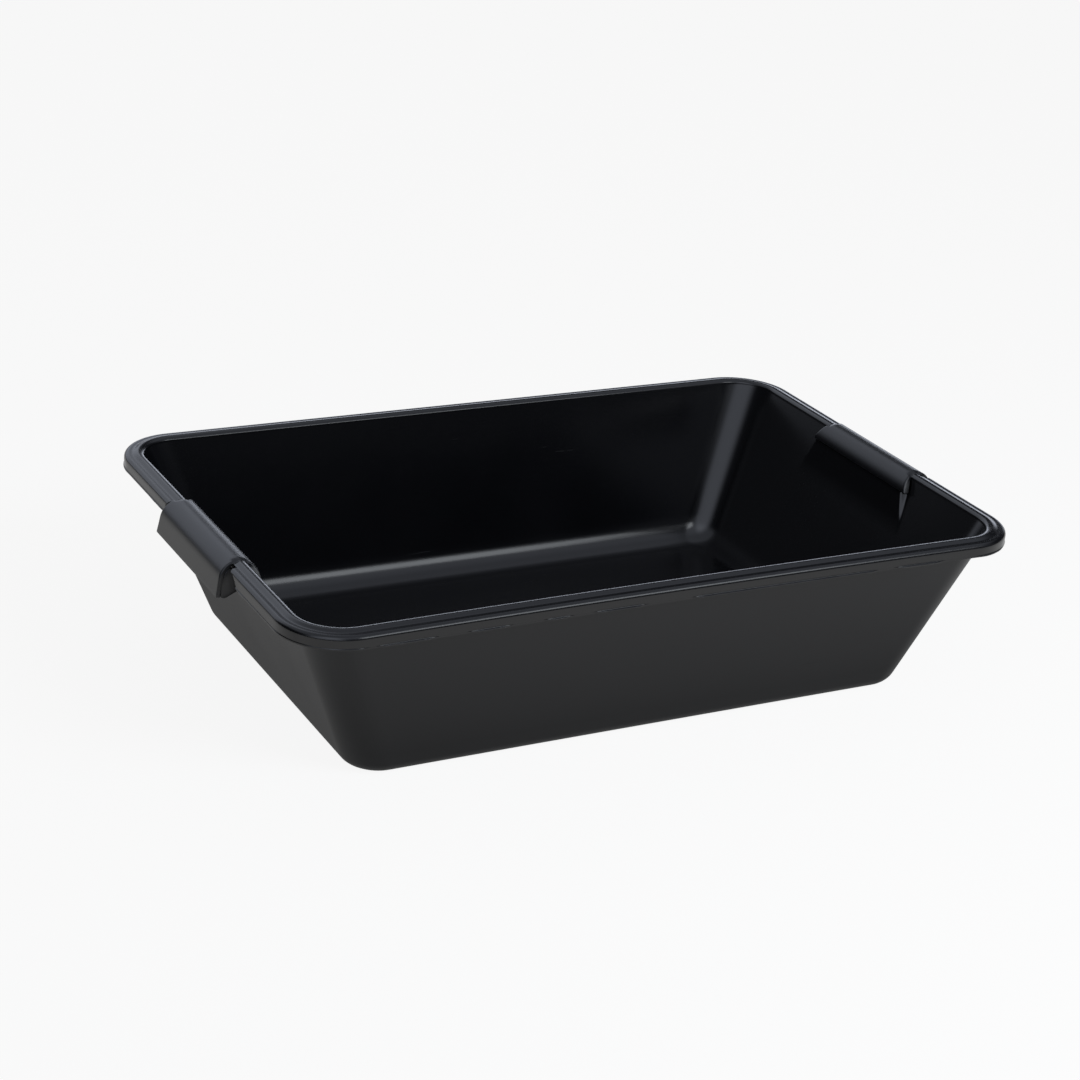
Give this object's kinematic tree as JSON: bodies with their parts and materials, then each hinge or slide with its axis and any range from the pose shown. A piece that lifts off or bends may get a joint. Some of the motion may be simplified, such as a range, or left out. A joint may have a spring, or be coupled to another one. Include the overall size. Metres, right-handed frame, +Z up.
{
  "type": "mortar mixing tub",
  "caption": "Rectangular mixing tub with sloping walls, a rounded-corner base, a rolled rim and a separate hand grip hooked over the rim at each end.",
  "frame": {"origin": "middle of the flat underside, on the surface that the tub stands on", "axes": "+X along the tub's length towards one grip, +Y along its width, +Z up"},
  "size_m": [0.664, 0.42, 0.1487],
  "materials": {
    "tub_plastic": "satin black moulded polyethylene",
    "grip_plastic": "satin black moulded polyethylene, a little finer in grain"
  },
  "bodies": {
    "root": {"tub": "tub_plastic", "grip_right": "grip_plastic", "grip_left": "grip_plastic"}
  },
  "joints": []
}
